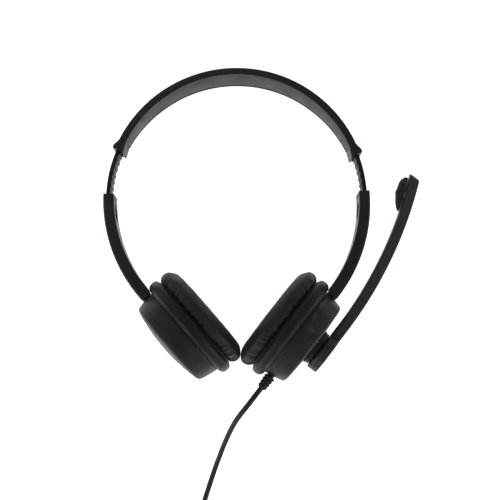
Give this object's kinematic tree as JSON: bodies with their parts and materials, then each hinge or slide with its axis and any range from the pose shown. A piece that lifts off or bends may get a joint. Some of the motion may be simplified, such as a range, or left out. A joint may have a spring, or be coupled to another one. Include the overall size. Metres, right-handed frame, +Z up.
{
  "type": "office headset",
  "caption": "On-ear USB office headset lying flat: sliding headband arms, tilting ear cups with leatherette pads, a rotating boom microphone and a coiled, tied cord.",
  "frame": {"origin": "centre of the headset's footprint on the surface it lies on, its free cord left out", "axes": "+Z up; +Y from the ear cups to the headband's crown; +X towards the cup that carries the boom"},
  "size_m": [0.1972, 0.3571, 0.0703],
  "materials": {
    "satin_black_plastic": "satin injection-moulded ABS, fine spark texture",
    "grey_plastic": "satin dark grey moulded plastic",
    "strip_plastic": "smooth moulded acetal",
    "steel": "zinc-plated steel",
    "speaker_film": "thin formed film",
    "leatherette": "soft grained protein leatherette over foam",
    "acoustic_cloth": "fine knit speaker cloth",
    "foam_rubber": "dense moulded soft cover",
    "cord_rubber": "semi-matt PVC jacket",
    "tie_fabric": "woven hook-and-loop strap",
    "board": "solder-masked circuit board",
    "plug_steel": "nickel-plated stamped shell",
    "plug_insulator": "moulded insulator"
  },
  "bodies": {
    "cup_right": {"cup_housing_right": "satin_black_plastic", "cup_cover_right": "satin_black_plastic", "baffle_right": "satin_black_plastic", "cup_screw_front_right": "steel", "cup_screw_rear_right": "steel", "driver_frame_right": "steel", "driver_diaphragm_right": "speaker_film", "driver_magnet_right": "steel", "ear_cloth_right": "acoustic_cloth", "ear_pad_right": "leatherette", "boom_base": "satin_black_plastic", "boom_axle": "steel", "boom_screw": "steel", "strain_relief": "cord_rubber", "terminal_board": "board", "cord_tube": "cord_rubber", "cord_tail": "cord_rubber", "cord_coil": "cord_rubber", "cord_tie": "tie_fabric", "usb_plug_grip": "cord_rubber", "usb_plug_shell": "plug_steel", "usb_plug_tongue": "plug_insulator"},
    "boom": {"boom_inner_half": "satin_black_plastic", "boom_outer_half": "satin_black_plastic", "mic_capsule": "steel", "mic_windscreen": "foam_rubber"},
    "knuckle_right": {"knuckle_right": "strip_plastic", "tilt_pin_right": "steel", "swivel_clip_right": "steel"},
    "arm_right": {"slider_strip_right": "strip_plastic", "arm_shell_right": "satin_black_plastic", "arm_cover_right": "grey_plastic", "arm_screw_right": "steel"},
    "headband": {"headband_shell": "satin_black_plastic", "headband_liner": "grey_plastic", "headband_spring": "steel", "collar_left": "satin_black_plastic", "collar_right": "satin_black_plastic"},
    "arm_left": {"slider_strip_left": "strip_plastic", "arm_shell_left": "satin_black_plastic", "arm_cover_left": "grey_plastic", "arm_screw_left": "steel"},
    "knuckle_left": {"knuckle_left": "strip_plastic", "tilt_pin_left": "steel", "swivel_clip_left": "steel"},
    "cup_left": {"cup_housing_left": "satin_black_plastic", "cup_cover_left": "satin_black_plastic", "baffle_left": "satin_black_plastic", "cup_screw_front_left": "steel", "cup_screw_rear_left": "steel", "driver_frame_left": "steel", "driver_diaphragm_left": "speaker_film", "driver_magnet_left": "steel", "ear_cloth_left": "acoustic_cloth", "ear_pad_left": "leatherette"}
  },
  "joints": [
    {"name": "boom_turn", "type": "hinge", "parent": "cup_right", "child": "boom", "pos_m": [0.03709, -0.07766, 0.03723], "axis": [0.7843, -0.6154, 0.0777], "range_deg": [-135, 135]},
    {"name": "swivel_right", "type": "hinge", "parent": "cup_right", "child": "knuckle_right", "pos_m": [0.04086, -0.0447, 0.03307], "axis": [-0.6203, -0.7782, 0.0983], "range_deg": [-5, 5]},
    {"name": "tilt_right", "type": "hinge", "parent": "knuckle_right", "child": "arm_right", "pos_m": [0.04086, -0.0447, 0.03307], "axis": [0, -0.1253, -0.9921], "range_deg": [0, 8]},
    {"name": "slide_right", "type": "hinge", "parent": "arm_right", "child": "headband", "pos_m": [-0.01594, 0.01738, 0.02523], "axis": [0, -0.1253, -0.9921], "range_deg": [0, 15]},
    {"name": "slide_left", "type": "hinge", "parent": "headband", "child": "arm_left", "pos_m": [-0.01594, 0.01738, 0.02523], "axis": [0, -0.1253, -0.9921], "range_deg": [0, 18.8]},
    {"name": "tilt_left", "type": "hinge", "parent": "arm_left", "child": "knuckle_left", "pos_m": [-0.06969, -0.04499, 0.03311], "axis": [0, -0.1253, -0.9921], "range_deg": [0, 8]},
    {"name": "swivel_left", "type": "hinge", "parent": "knuckle_left", "child": "cup_left", "pos_m": [-0.06969, -0.04499, 0.03311], "axis": [0.6566, -0.7483, 0.0945], "range_deg": [-5, 5]}
  ]
}
